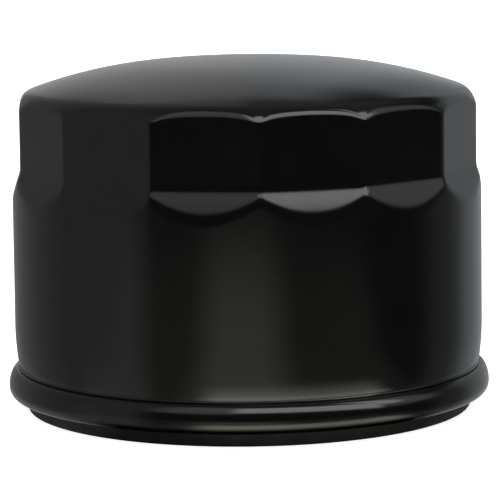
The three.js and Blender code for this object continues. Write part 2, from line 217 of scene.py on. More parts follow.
class Finish:
    """A procedural material: one Principled shader, and textures that vary it over the piece."""

    DARK_TO_LIGHT = (0.35, 0.65)  # texture values between which the colour changes
    SMOOTH_TO_ROUGH = (0.3, 0.7)  # and between which the roughness does

    def __init__(self, name, **values):
        self.material = bpy.data.materials.new(name)
        self.material.use_nodes = True
        self.nodes = self.material.node_tree.nodes
        self.links = self.material.node_tree.links
        self.shader = self.nodes["Principled BSDF"]
        for socket, value in values.items():
            self.shader.inputs[socket.replace("_", " ")].default_value = value
        self.place = self.nodes.new("ShaderNodeTexCoord").outputs["Object"]
        self.relief = None

    def scaled(self, size, stretch=(1, 1, 1)):
        """The place on the piece, in units of size millimetres, drawn out along the axes by stretch."""
        mapping = self.nodes.new("ShaderNodeMapping")
        mapping.inputs["Scale"].default_value = [1 / (size * MM * s) for s in stretch]
        self.links.new(self.place, mapping.inputs["Vector"])
        return mapping.outputs["Vector"]

    def noise(self, size, detail=3.0, roughness=0.5, stretch=(1, 1, 1)):
        """Soft mottling, from 0 to 1."""
        texture = self.nodes.new("ShaderNodeTexNoise")
        texture.inputs["Scale"].default_value = 1.0
        texture.inputs["Detail"].default_value = detail
        texture.inputs["Roughness"].default_value = roughness
        self.links.new(self.scaled(size, stretch), texture.inputs["Vector"])
        return texture.outputs["Fac"]

    def cells(self, size):
        """Distance to the nearest of a scatter of points."""
        texture = self.nodes.new("ShaderNodeTexVoronoi")
        texture.inputs["Scale"].default_value = 1.0
        self.links.new(self.scaled(size), texture.inputs["Vector"])
        return texture.outputs["Distance"]

    def colour(self, factor, dark, light):
        """Varies the colour from dark to light with a texture."""
        ramp = self.nodes.new("ShaderNodeValToRGB")
        for element, place, shade in zip(ramp.color_ramp.elements, self.DARK_TO_LIGHT, (dark, light)):
            element.position, element.color = place, (*shade, 1)
        self.links.new(factor, ramp.inputs["Fac"])
        self.links.new(ramp.outputs["Color"], self.shader.inputs["Base Color"])

    def roughness(self, factor, smooth, rough):
        """Varies the roughness from smooth to rough with a texture."""
        node = self.nodes.new("ShaderNodeMapRange")
        values = (*self.SMOOTH_TO_ROUGH, smooth, rough)
        for socket, value in zip(("From Min", "From Max", "To Min", "To Max"), values):
            node.inputs[socket].default_value = value
        self.links.new(factor, node.inputs["Value"])
        self.links.new(node.outputs["Result"], self.shader.inputs["Roughness"])

    def bump(self, factor, depth):
        """Adds relief, its depth in millimetres, over any earlier relief."""
        node = self.nodes.new("ShaderNodeBump")
        node.inputs["Distance"].default_value = depth * MM
        self.links.new(factor, node.inputs["Height"])
        if self.relief:
            self.links.new(self.relief, node.inputs["Normal"])
        self.relief = node.outputs["Normal"]
        self.links.new(self.relief, self.shader.inputs["Normal"])


def enamel(name):
    """Sprayed satin black enamel, with a faint orange peel and slightly uneven gloss."""
    finish = Finish(name, Metallic=0.0, IOR=1.5)
    finish.colour(finish.noise(5.0), (0.0007, 0.0007, 0.0007), (0.0012, 0.0012, 0.0012))
    finish.roughness(finish.noise(3.0), 0.11, 0.14)
    finish.bump(finish.noise(0.9, detail=1.0), 0.002)
    finish.bump(finish.noise(0.12, detail=1.0), 0.0006)
    return finish.material


def rubber(name, shade):
    """Moulded black rubber: matte, with a fine grain and a slightly paler bloom in places."""
    finish = Finish(name, Metallic=0.0, IOR=1.45, Specular_IOR_Level=0.4)
    finish.colour(finish.noise(2.5), (0.8 * shade,) * 3, (1.4 * shade,) * 3)
    finish.roughness(finish.noise(1.2), 0.55, 0.7)
    finish.bump(finish.noise(0.3, detail=4.0), 0.006)
    finish.bump(finish.cells(0.1), 0.002)
    return finish.material


def sheet_metal(name, shade, smooth, rough, stretch=(1, 1, 1)):
    """Bare or plated steel: mottled, with drawing lines along the stretch."""
    finish = Finish(name, Metallic=1.0)
    finish.colour(finish.noise(4.0, detail=6.0), tuple(0.75 * c for c in shade), shade)
    finish.roughness(finish.noise(1.8, detail=5.0), smooth, rough)
    finish.bump(finish.noise(0.5, detail=3.0, stretch=stretch), 0.002)
    finish.bump(finish.noise(0.1, detail=2.0, stretch=stretch), 0.0008)
    return finish.material


def filter_paper(name):
    """Resin-cured filter paper: ochre and fibrous."""
    finish = Finish(name, Metallic=0.0, IOR=1.4, Specular_IOR_Level=0.3)
    finish.colour(finish.noise(1.5, detail=8.0, roughness=0.7), (0.42, 0.26, 0.09), (0.62, 0.44, 0.19))
    finish.roughness(finish.noise(0.8), 0.8, 0.95)
    finish.bump(finish.noise(0.3, detail=6.0, roughness=0.7, stretch=(1, 1, 3)), 0.02)
    finish.bump(finish.noise(0.06, detail=3.0), 0.006)
    return finish.material


def compound(name, shade):
    """Poured or squeezed-in compound: dull and slightly lumpy, with small pits."""
    finish = Finish(name, Metallic=0.0, IOR=1.45, Specular_IOR_Level=0.4)
    finish.colour(finish.noise(2.0, detail=5.0), tuple(0.7 * c for c in shade), shade)
    finish.roughness(finish.noise(1.0), 0.5, 0.7)
    finish.bump(finish.noise(1.5), 0.03)
    finish.bump(finish.cells(0.5), 0.01)
    return finish.material


FINISHES = {
    "can_paint": enamel("can_enamel"),
    "lid_paint": enamel("lid_enamel"),
    "seam_compound": compound("seam_compound", (0.12, 0.13, 0.12)),
    "plate_steel": sheet_metal("base_steel", (0.44, 0.45, 0.46), 0.30, 0.45),
    "gasket_rubber": rubber("gasket_rubber", 0.003),
    "valve_rubber": rubber("valve_rubber", 0.018),
    "tin_plate": sheet_metal("tin_plate", (0.66, 0.67, 0.68), 0.18, 0.30, stretch=(1, 1, 6)),
    "plated_steel": sheet_metal("zinc_plate", (0.60, 0.59, 0.55), 0.25, 0.38),
    "potting": compound("potting_compound", (0.09, 0.085, 0.075)),
    "filter_paper": filter_paper("pleat_paper"),
    "spring_steel": sheet_metal("spring_steel", (0.24, 0.25, 0.27), 0.25, 0.4, stretch=(1, 1, 4)),
}


def stands_for(piece, node):
    """The piece takes the node's place and finish."""
    piece.data.materials.append(FINISHES[SLOT_OF[node]])
    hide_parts(node)
    return piece


def fixed(piece, node):
    """The piece takes the node's place and finish, and rides on its body."""
    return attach(stands_for(piece, node), BODY_OF[node])


# ---- Can -----------------------------------------------------------------------------------------

SHEET = 0.45
GAP = 0.1  # between the rolled layers of the seam
FLATS = 14
FLAT_STEP = 2 * math.pi / FLATS
HALF_FLAT = FLAT_STEP / 2
FIRST_CORNER = math.radians(3)
APOTHEM = 35.4  # from the filter's axis to the middle of a flat
CORNER_ROUND = 3.0  # between two flats
FLAT_FOOT = 38.1  # height at which a flat ends and its scallop starts
FOOT_SLOPE = 0.40  # how far the scallop leans out, where it starts
FOOT_BULGE = 0.012  # and how fast it turns upright further down
FOOT_REACH = 8.0  # how far down it goes at most
FOOT_SOFTNESS = 0.4  # how gradually a flat turns out into its scallop
RIM_SOFTNESS = 0.3  # and how gradually the scallop meets the wall
CROWN_ARC = 192.0  # radius of the crown's arc in the middle
CROWN_EDGE = 14.2  # as far out as that arc goes
SHOULDER_ARC = 75.5  # radius of the arc that the crown follows from there to its shoulder
SHOULDER_RADIUS = 36.4  # of the can, where its crown bends down
SHOULDER_ROUND = 4.0  # and how round that bend is
EDGE_ROUND = 2.1  # where a flat cuts that shoulder
WALL_TOP_RADIUS = 36.87
WALL_FOOT_RADIUS = 36.95
WALL_FOOT = 13.6
NECK_RADIUS = 36.5
NECK_FOOT = 7.3
HOOK_TOP = 6.4  # height at which the neck passes into the hook that the seam holds
ABOVE_FOOT = 1.2  # stretch above a flat's foot with rows of points close together
BELOW_RIM = 1.5  # and below its scallop

crown_top = ring_of("can")[3]
crown_angle = math.asin(CROWN_EDGE / CROWN_ARC)
shoulder_r = CROWN_EDGE - SHOULDER_ARC * math.sin(crown_angle)  # centre of the shoulder's arc
shoulder_z = crown_top - CROWN_ARC + (CROWN_ARC - SHOULDER_ARC) * math.cos(crown_angle)


def crown_height(radius, depth):
    """The crown's height at a radius, on a face that lies in by depth."""
    if radius < CROWN_EDGE:
        return crown_top - CROWN_ARC + math.sqrt((CROWN_ARC - depth) ** 2 - radius ** 2)
    return shoulder_z + math.sqrt((SHOULDER_ARC - depth) ** 2 - (radius - shoulder_r) ** 2)


def column_turns():
    """Angles of the can's columns from the middle of a flat, closer together on its rounded corners."""
    centre = (APOTHEM - CORNER_ROUND) / math.cos(HALF_FLAT)
    corner = [HALF_FLAT - math.atan2(CORNER_ROUND * math.sin(a), centre + CORNER_ROUND * math.cos(a))
              for a in np.linspace(HALF_FLAT, 0, 5)]
    right = list(np.linspace(0, corner[0], 7)[:-1]) + corner
    return [-turn for turn in right[:0:-1]] + right[:-1]


def flats_radius(apothem, turn):
    """Radius of the 14-sided outline with rounded corners, at an angle from the middle of a side."""
    if apothem * math.tan(abs(turn)) <= (apothem - CORNER_ROUND) * math.tan(HALF_FLAT):
        return apothem / math.cos(turn)
    centre = (apothem - CORNER_ROUND) / math.cos(HALF_FLAT)
    away = HALF_FLAT - abs(turn)
    return centre * math.cos(away) + math.sqrt(CORNER_ROUND ** 2 - (centre * math.sin(away)) ** 2)


def smooth_min(a, b, width):
    """The smaller of two numbers, rounded off where they differ by less than width."""
    overlap = max(width - abs(a - b), 0) / width
    return min(a, b) - overlap ** 2 * width / 4


def wall_radius(height):
    """The wall with its slight taper, and the neck below it that leads in to the seam."""
    if height >= WALL_FOOT:
        share = min((height - WALL_FOOT) / (FLAT_FOOT - WALL_FOOT), 1)
        return WALL_FOOT_RADIUS + (WALL_TOP_RADIUS - WALL_FOOT_RADIUS) * share
    share = (WALL_FOOT - height) / (WALL_FOOT - NECK_FOOT)
    return WALL_FOOT_RADIUS + (NECK_RADIUS - WALL_FOOT_RADIUS) * share ** 2


def side_radius(height, turn, depth):
    """The wall with a flat and its scallop pressed into it, moved in by depth."""
    fall = FLAT_FOOT - height
    fall = min((fall + math.hypot(fall, FOOT_SOFTNESS)) / 2, FOOT_REACH)
    flat = flats_radius(APOTHEM - depth + FOOT_SLOPE * fall - FOOT_BULGE * fall ** 2, turn)
    return smooth_min(wall_radius(height) - depth, flat, RIM_SOFTNESS)


def can_column(turn, depth):
    """The can's outline at one angle, from the middle of the crown down to the neck."""
    round_r = SHOULDER_RADIUS - SHOULDER_ROUND
    round_z = shoulder_z + math.sqrt((SHOULDER_ARC - SHOULDER_ROUND) ** 2 - (round_r - shoulder_r) ** 2)
    lean = math.degrees(math.atan2(round_z - shoulder_z, round_r - shoulder_r))
    edge = EDGE_ROUND - depth
    edge_r = flats_radius(APOTHEM - depth, turn) - edge
    edge_z = round_z + math.sqrt((SHOULDER_ROUND - EDGE_ROUND) ** 2 - (edge_r - round_r) ** 2)
    edge_lean = math.degrees(math.atan2(edge_z - round_z, edge_r - round_r))
    shoulder = arc((round_r, round_z), SHOULDER_ROUND - depth, SHOULDER_ROUND - depth, lean, edge_lean, 7)
    bend = arc((edge_r, edge_z), edge, edge, edge_lean, 0, 13)
    reach = shoulder[0][0]
    crown = [(reach * share, crown_height(reach * share, depth)) for share in np.linspace(0, 1, 26)]
    # The rim is where the scallop has come out as far as the wall.
    dip = max(wall_radius(FLAT_FOOT) * math.cos(turn) - APOTHEM, 0)
    rim = FLAT_FOOT - (FOOT_SLOPE - math.sqrt(FOOT_SLOPE ** 2 - 4 * FOOT_BULGE * dip)) / (2 * FOOT_BULGE)
    heights = [
        *np.linspace(edge_z, FLAT_FOOT + ABOVE_FOOT, 5)[1:],
        *np.linspace(FLAT_FOOT + ABOVE_FOOT, FLAT_FOOT, 6)[1:],
        *np.linspace(FLAT_FOOT, rim, 14)[1:],
        *np.linspace(rim, rim - BELOW_RIM, 7)[1:],
        *np.linspace(rim - BELOW_RIM, WALL_FOOT, 6)[1:],
        *np.linspace(WALL_FOOT, NECK_FOOT, 13)[1:],
    ]
    return crown[:-1] + shoulder[:-1] + bend + [(side_radius(z, turn, depth), z) for z in heights]


def can_shell():
    """The drawn can: both faces of its sheet, a fine bead just above the roll, and the hook in it."""
    hook_inside, hook_outside, sealant_foot, _ = ring_of("seam_compound")
    hook_foot, hook_top = ring_of("can")[2], sealant_foot - GAP
    inside = NECK_RADIUS - SHEET
    bead = [(NECK_RADIUS + step, height) for step, height in (
        (-0.07, 7.1), (-0.06, 7.0), (0.03, 6.88), (0.03, 6.8), (-0.05, 6.7))]
    hook = rounded([
        (NECK_RADIUS, HOOK_TOP, 0), (NECK_RADIUS, hook_foot + SHEET), (hook_inside, hook_foot + SHEET),
        (hook_inside, hook_top), (hook_outside, hook_top), (hook_outside, hook_foot, 0.5),
        (inside, hook_foot, 0.5), (inside, HOOK_TOP, 0),
    ], 0.15)
    loops = []
    for flat in range(FLATS):
        middle = FIRST_CORNER + FLAT_STEP * (flat + 0.5)
        for turn in column_turns():
            outline = can_column(turn, 0) + bead + hook + can_column(turn, SHEET)[::-1]
            loops.append([around(middle + turn, r, z) for r, z in outline])
    return skin("can_shell", loops, sharp=50)


# ---- Lid, seam and gasket ------------------------------------------------------------------------

ROLL_MIDDLE = 3.8  # height at which the rolled edge is widest
ROLL_SHEET = 0.4  # the lid's sheet where it is rolled
ROLL_UNDER = 0.95  # how far in the roll's lower half curls
LIP_ROUND = 0.14  # of the edge below a fine crease
CHANNEL_INSIDE = 30.6
CHANNEL_ROOF = 4.5
PANEL_LIFT = 0.35  # of the lid's flat panel above its lip


def rolled_lid():
    """The pressed lid: a flat panel, the channel for the gasket, and the edge rolled over the can's hook."""
    opening, _, foot, top = ring_of("seaming_lid")
    outside = min(cad_box[1][:2]) / MM
    panel = foot + PANEL_LIFT
    hook_inside = NECK_RADIUS + GAP
    hook_outside = hook_inside + ROLL_SHEET
    wall_outside = NECK_RADIUS - SHEET - GAP
    wall_inside = wall_outside - SHEET
    skirt_inside = outside - ROLL_SHEET
    under, lip = outside - ROLL_UNDER, outside - 1.12
    front = arc((hook_inside, ROLL_MIDDLE), outside - hook_inside, top - ROLL_MIDDLE, 90, 0, 22)
    front += arc((under, ROLL_MIDDLE), ROLL_UNDER, ROLL_MIDDLE - foot - 0.1, 0, -82, 14)[1:]
    crease = [(outside - 0.88, foot + 0.2), (outside - 0.93, foot + 0.27), (outside - 0.98, foot + 0.2)]
    edge = arc((lip, foot + LIP_ROUND), LIP_ROUND, LIP_ROUND, 20, -90, 7)
    channel = rounded([
        (lip - 0.3, foot, 0), (wall_inside, foot, 0.35), (wall_inside, CHANNEL_ROOF),
        (CHANNEL_INSIDE, CHANNEL_ROOF), (CHANNEL_INSIDE, panel, 0.4), (opening, panel, 0.1),
        (opening, panel + SHEET, 0.1), (CHANNEL_INSIDE - SHEET, panel + SHEET),
        (CHANNEL_INSIDE - SHEET, CHANNEL_ROOF + SHEET, 0.5), (wall_outside, CHANNEL_ROOF + SHEET, 0.5),
        (wall_outside, foot + SHEET, 0.1), (under - 0.2, foot + SHEET, 0),
    ], 0.25)
    cavity = arc((under, ROLL_MIDDLE), skirt_inside - under, ROLL_MIDDLE - foot - SHEET, -90, 0, 7)
    roof = top - ROLL_MIDDLE - 0.5
    cavity += arc((hook_inside, ROLL_MIDDLE), skirt_inside - hook_inside, roof, 0, 65, 9)[1:]
    hook_foot = ring_of("can")[2] + SHEET + 0.2
    hook = [(hook_outside, hook_foot + 0.15), (hook_outside - 0.1, hook_foot), (hook_inside + 0.1, hook_foot),
            (hook_inside, hook_foot + 0.15), (hook_inside, top - 0.3)]
    return turned("rolled_lid", front + crease + edge + channel + cavity + hook, sides=256)


def seam_sealant():
    """The bead of sealant on the can's hook, squeezed into the roll."""
    inside, outside, foot, top = ring_of("seam_compound")
    return turned("seam_sealant", rounded([
        (inside, foot), (outside - 0.08, foot), (outside - 0.2, top - 0.15), (inside, top),
    ], 0.08))


def gasket_ring():
    """The square-cut gasket, with rounded edges on its sealing face."""
    inside, outside, foot, top = ring_of("base_gasket")
    return turned("gasket_ring", rounded([
        (inside, foot, 0.35), (outside, foot, 0.35), (outside, top), (inside, top),
    ]), sides=256)


# ---- Base plate and valve ------------------------------------------------------------------------

THREAD_PITCH = 1.5875
THREAD_DEPTH = 0.8
THREAD_FLANK = 1.3  # how steep the flanks are; the rest is flat crests and roots
THREAD_ROWS = 16  # rows of points for each turn of the thread
THREAD_COLUMNS = 96
STEP_RADIUS = 29.4
RIM_LIFT = 1.9
PLATE_THICKNESS = 3.0
HUB_RADIUS = 11.3
INLETS = 8
INLET_CIRCLE = 18.0
INLET_RADIUS = 2.75
INLET_CHAMFER = 0.35


def thread_radius(height, share, crest, foot, top):
    """The threaded bore at a height and a share of a turn, with a chamfer at both ends."""
    phase = (height / THREAD_PITCH - share) % 1
    ridge = np.clip(THREAD_FLANK * (1 - abs(2 * phase - 1)) - (THREAD_FLANK - 1) / 2, 0, 1)
    chamfer = crest + THREAD_DEPTH - min(height - foot, top - height)
    return max(crest + THREAD_DEPTH * (1 - ridge), chamfer)


def threaded_base():
    """The pressed base plate: raised rim, threaded hub, and inlet holes with chamfered edges."""
    crest, rim, foot, top = ring_of("base_plate")
    face = foot + PLATE_THICKNESS
    mouth = crest + THREAD_DEPTH
    outside = rounded([
        (mouth, foot, 0), (STEP_RADIUS, foot, 0.6), (STEP_RADIUS, foot + RIM_LIFT, 0.5),
        (rim, foot + RIM_LIFT, 0.4), (rim, face + RIM_LIFT, 0.8), (STEP_RADIUS - 1, face + RIM_LIFT, 1.2),
        (STEP_RADIUS - 3, face, 1.2), (HUB_RADIUS, face, 1.0), (HUB_RADIUS, top, 0.5), (mouth, top, 0),
    ], 0.3)
    rows = math.ceil((top - foot) / THREAD_PITCH + 1) * THREAD_ROWS
    loops = []
    for share in np.linspace(0, 1, THREAD_COLUMNS + 1):
        heights = [np.clip(top + (share - row / THREAD_ROWS) * THREAD_PITCH, foot, top)
                   for row in range(rows)]
        bore = [(thread_radius(z, share, crest, foot, top), z) for z in heights]
        loops.append([around(2 * math.pi * share, r, z) for r, z in outside + bore])
    plate = skin("threaded_base", loops, ends="welded")

    def drill():
        edge = INLET_RADIUS + INLET_CHAMFER
        bit = turned("drill", [
            (0, foot - 1), (edge + 1, foot - 1), (INLET_RADIUS, foot + INLET_CHAMFER),
            (INLET_RADIUS, face - INLET_CHAMFER), (edge + 1, face + 1), (0, face + 1),
        ], sides=48)
        bit.data.transform(Matrix.Translation((INLET_CIRCLE * MM, 0, 0)))
        return bit

    return combined(plate, copies_around(INLETS, 0, drill), "DIFFERENCE")


VALVE_WALL = 1.6
VALVE_BEAD = 1.1  # height of the sleeve's top above the cone
VALVE_DROP = 2.4  # from the sleeve's foot to the lip


def valve_diaphragm():
    """The rubber valve: a sleeve, and a cone that thins to its lip, which alone bends as it lifts. Drawn at
    rest, on no body.
    """
    inside, lip, foot, top = ring_of("anti_drain_valve")
    sleeve, shoulder, sleeve_foot = inside + VALVE_WALL, top - VALVE_BEAD, foot + VALVE_DROP
    piece = turned("valve_diaphragm", rounded([
        (inside, sleeve_foot, 0.3), (sleeve, sleeve_foot, 0.4), (sleeve, shoulder - 1.5, 0.5),
        (sleeve + 5.5, shoulder - 3.1, 3), (lip - 1.4, foot + 0.2, 0.5), (lip - 0.7, foot, 0.2),
        (lip, foot + 0.5, 0.25), (sleeve + 6.5, shoulder - 2.0, 3), (sleeve + 1, shoulder, 0.8),
        (sleeve, top, 0.5), (inside, top, 0.5),
    ], 0.3))
    stands_for(piece, "anti_drain_valve")
    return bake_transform(piece)


# ---- Filter element ------------------------------------------------------------------------------

CAP_SHEET = 0.5
CAP_GROOVES = (17, 26)  # radii
GROOVE_DEPTH = 0.18
GROOVE_WIDE, GROOVE_NARROW = 1.2, 0.5  # half a groove's width in the cap's face, and at its own floor
GROOVE_ROUND = 0.8
POTTING_DIP = 0.2
POTTING_SLOPE = 0.9  # width of the slopes down to the dip
PLEATS = 44
PAPER = 0.7
LEG_POINTS = 9  # along each leg of a pleat, and round each fold
BOW = 0.1  # the most that a leg is bowed
BOW_CHANGE = 1.7  # from leg to leg, as an angle
STRIP_END = 30.4  # radius to which the strip's two ends reach, inside their clip
PINCH = 0.25  # how far they bend towards each other
PINCH_START = 26.0  # from this radius on
PINCH_LENGTH = 4
CLIP_SHEET = 0.4


def cap_dish(name, node, up):
    """A pressed end cap with stiffening grooves in its face. Its rim points up or down."""
    bore, rim, low, high = ring_of(node)
    back, edge = (low, high) if up > 0 else (high, low)

    def grooved(height):
        groove = height + GROOVE_DEPTH * up
        return [point for radius in CAP_GROOVES for point in (
            (radius - GROOVE_WIDE, height, GROOVE_ROUND), (radius - GROOVE_NARROW, groove, GROOVE_ROUND),
            (radius + GROOVE_NARROW, groove, GROOVE_ROUND), (radius + GROOVE_WIDE, height, GROOVE_ROUND))]

    inner = back + CAP_SHEET * up
    return turned(name, rounded([
        (bore, back), *grooved(back), (rim, back, 1.0), (rim, edge), (rim - CAP_SHEET, edge),
        (rim - CAP_SHEET, inner, 0.5), *grooved(inner)[::-1], (bore, inner),
    ], 0.15))


def potting_ring(name, node, up):
    """The compound that holds the pleats' ends, a little higher against the tube and the cap's rim."""
    inside, outside, low, high = ring_of(node)
    back, face = (low, high) if up > 0 else (high, low)
    dip = face - POTTING_DIP * up
    return turned(name, rounded([
        (inside, back, 0.1), (outside, back, 0.3), (outside, face, 0.05),
        (outside - POTTING_SLOPE, dip, 1.0), (inside + POTTING_SLOPE, dip, 1.0), (inside, face, 0.05),
    ]))


def paper_line():
    """The paper's middle line: radial legs, bowed slightly, that round folds join."""
    inside, outside = ring_of("pleated_media")[:2]
    slant = math.pi / (2 * PLEATS)
    fold_in = (inside + PAPER / 2) / (1 / math.cos(slant) - math.tan(slant))
    fold_out = (outside - PAPER / 2) / (1 / math.cos(slant) + math.tan(slant))
    last = 2 * PLEATS - 1
    line = []
    for leg in range(last + 1):
        inward = leg % 2 == 0
        angle = (2 * leg + 1) * slant
        start, end = (fold_out, fold_in) if inward else (fold_in, fold_out)
        radii = np.linspace(STRIP_END if leg == 0 else start, STRIP_END if leg == last else end, LEG_POINTS)
        bow = BOW * math.sin(BOW_CHANGE * leg) * np.sin(np.linspace(0, math.pi, LEG_POINTS))
        side = (leg == last) - (leg == 0)
        pinch = PINCH * side * (np.maximum(radii - PINCH_START, 0) / PINCH_LENGTH) ** 2
        line += [around(angle + (b + p) / r, r, 0)[:2] for r, b, p in zip(radii, bow, pinch)]
        if leg < last:
            middle = (fold_in if inward else fold_out) / math.cos(slant)
            centre = np.array(around(angle + slant, middle, 0)[:2])
            first, sweep = (math.pi, slant - math.pi / 2) if inward else (0, slant + math.pi / 2)
            for share in np.linspace(-1, 1, LEG_POINTS)[1:-1]:
                out = around(angle + slant + first + sweep * share, middle * math.sin(slant), 0)
                line.append(tuple(centre + out[:2]))
    return np.array(line)


def paper_pleats():
    """The pleated paper, as one strip stood on its edge."""
    foot, top = ring_of("pleated_media")[2:]
    line = paper_line()
    along = np.gradient(line, axis=0)
    across = np.stack([-along[:, 1], along[:, 0]], axis=1) / np.linalg.norm(along, axis=1)[:, None]
    left, right = line - across * PAPER / 2, line + across * PAPER / 2
    loops = [[(*a, foot), (*b, foot), (*b, top), (*a, top)] for a, b in zip(left, right)]
    return skin("paper_pleats", loops, ends="capped", sharp=60)


def pleat_clip():
    """The folded strip that grips both ends of the paper."""
    (left, front, foot), (right, back, top) = (np.array(corner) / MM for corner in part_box("media_clip"))
    fold = front + CLIP_SHEET
    outline = rounded([
        (left, front, 0.8), (right, front, 0.8), (right, back, 0.15), (right - CLIP_SHEET, back, 0.15),
        (right - CLIP_SHEET, fold, 0.5), (left + CLIP_SHEET, fold, 0.5),
        (left + CLIP_SHEET, back, 0.15), (left, back, 0.15),
    ])
    return skin("pleat_clip", [[(x, y, z) for x, y in outline] for z in (foot, top)], ends="capped")


TUBE_ROWS = 3
TUBE_HOLES = 8
TUBE_HOLE_RADIUS = 2.0


def perforated_tube():
    """The tube inside the paper, with rows of holes that are staggered from row to row."""
    inside, outside, foot, top = ring_of("centre_tube")
    tube = turned("perforated_tube", rounded([
        (inside, foot), (outside, foot), (outside, top), (inside, top),
    ], 0.12, 3), sides=144)
    pitch = (top - foot) / TUBE_ROWS
    drills = []
    for row in range(TUBE_ROWS):
        height = foot + (row + 0.5) * pitch
        circle = [(TUBE_HOLE_RADIUS * math.cos(a), height + TUBE_HOLE_RADIUS * math.sin(a))
                  for a in np.arange(32) * math.pi / 16]

        def drill():
            return skin("drill", [[(x, y, z) for y, z in circle] for x in (inside - 2, outside + 2)],
                        ends="capped")

        drills += copies_around(TUBE_HOLES, (row % 2) * math.pi / TUBE_HOLES, drill)
    return combined(tube, drills, "DIFFERENCE")


# ---- Bypass valve and springs --------------------------------------------------------------------

CAGE_WALL = 9.0
CAGE_WINDOWS = 3
WINDOW_HALF = 3.5  # half its width and height
STEM_RADIUS = 1.6
DISC_THICKNESS = 0.8
PAD_DISH = 0.06  # depth of the pad's face within its raised edge
SPRING_TURNS = 4.5
SPRING_POINTS = 216  # along the wire
SPRING_GROUND = 0.2  # of the wire's thickness, half of it at each end
LEAF_SHEET = 0.6
LEAF_HUB = 11.5
LEAF_WIDTH = 9.0
LEAF_REACH = 24.0
LEAF_ROOT = LEAF_HUB - 1.5  # where a leaf starts to rise
LEAF_KNEE = LEAF_REACH - 2.2  # and where it is highest
LEAF_CURL = 0.12  # how fast its tip curls down from there
LEAF_TIP = 4  # length over which it narrows
LEAF_NARROWING = 0.8
LEAF_ROWS = 42
LEAVES = 4


def bypass_gasket():
    """The flat seal between the bypass valve and the element's cap."""
    inside, outside, foot, top = ring_of("bypass_seal")
    return turned("bypass_gasket", rounded([
        (inside, foot), (outside, foot), (outside, top), (inside, top),
    ], 0.25))


def cage_cup():
    """The cup that holds the bypass spring: flange at its mouth, windows in its wall, drain in its floor."""
    drain, flange, foot, top = ring_of("bypass_cage")
    cup = turned("cage_cup", rounded([
        (drain, foot), (CAGE_WALL, foot, 1.4), (CAGE_WALL, top - CAP_SHEET, 0.3), (flange, top - CAP_SHEET),
        (flange, top), (CAGE_WALL - CAP_SHEET, top, 0.8), (CAGE_WALL - CAP_SHEET, foot + CAP_SHEET, 0.9),
        (drain, foot + CAP_SHEET),
    ], 0.15))
    middle = (foot + top - CAP_SHEET) / 2
    low, high = middle - WINDOW_HALF, middle + WINDOW_HALF
    opening = rounded([
        (-WINDOW_HALF, low), (WINDOW_HALF, low), (WINDOW_HALF, high), (-WINDOW_HALF, high),
    ], 1.5)

    def window():
        return skin("window", [[(x, y, z) for y, z in opening] for x in (CAGE_WALL - 3, CAGE_WALL + 2)],
                    ends="capped")

    return combined(cup, copies_around(CAGE_WINDOWS, math.radians(30), window), "DIFFERENCE")


def seat_plate():
    """The seat's washer, with a coined ring round its orifice that the poppet closes on."""
    orifice, outside, foot, top = ring_of("bypass_seat")
    return turned("seat_plate", rounded([
        (orifice, foot - 0.2), (orifice + 0.7, foot - 0.2), (orifice + 1.1, foot, 0.2), (outside, foot),
        (outside, top), (orifice + 0.9, top, 0.4), (orifice, top - 0.25, 0.2),
    ], 0.12))


def poppet_disc():
    """The bypass poppet: a disc with a stem that guides its spring."""
    _, outside, foot, top = ring_of("bypass_poppet")
    back = top - DISC_THICKNESS
    return turned("poppet_disc", rounded([
        (0, top), (outside, top), (outside, back), (STEM_RADIUS, back, 0.5), (STEM_RADIUS, foot, 0.6),
        (0, foot),
    ]), sides=96)


def poppet_pad():
    """The rubber pad on the poppet's face, with a raised edge."""
    _, outside, foot, top = ring_of("poppet_facing")
    face = top - PAD_DISH
    return turned("poppet_pad", rounded([
        (0, foot), (outside, foot), (outside, top, 0.3), (outside - 0.8, top, 0.3),
        (outside - 1.1, face, 0.3), (0, face),
    ], 0.15), sides=96)


def coil_spring():
    """The bypass spring: wire wound closer at both ends, and ground flat there."""
    inside, outside, foot, top = ring_of("bypass_spring")
    wire = outside - inside
    radius, low, high = inside + wire / 2, foot + wire / 2, top - wire / 2
    ground = SPRING_GROUND * wire
    section = arc((0, 0), wire / 2, wire / 2, 0, 340, 18)
    loops = []
    for share in np.linspace(0, 1, SPRING_POINTS + 1):
        angle = 2 * math.pi * SPRING_TURNS * share
        height = low + (high - low) * (share - math.sin(2 * math.pi * share) / (4 * math.pi))
        loops.append([around(angle, radius + a, np.clip(height + b, foot + ground / 2, top - ground / 2))
                      for a, b in section])
    piece = fixed(skin("coil_spring", loops, ends="capped", sharp=60), "bypass_spring")
    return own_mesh(piece)


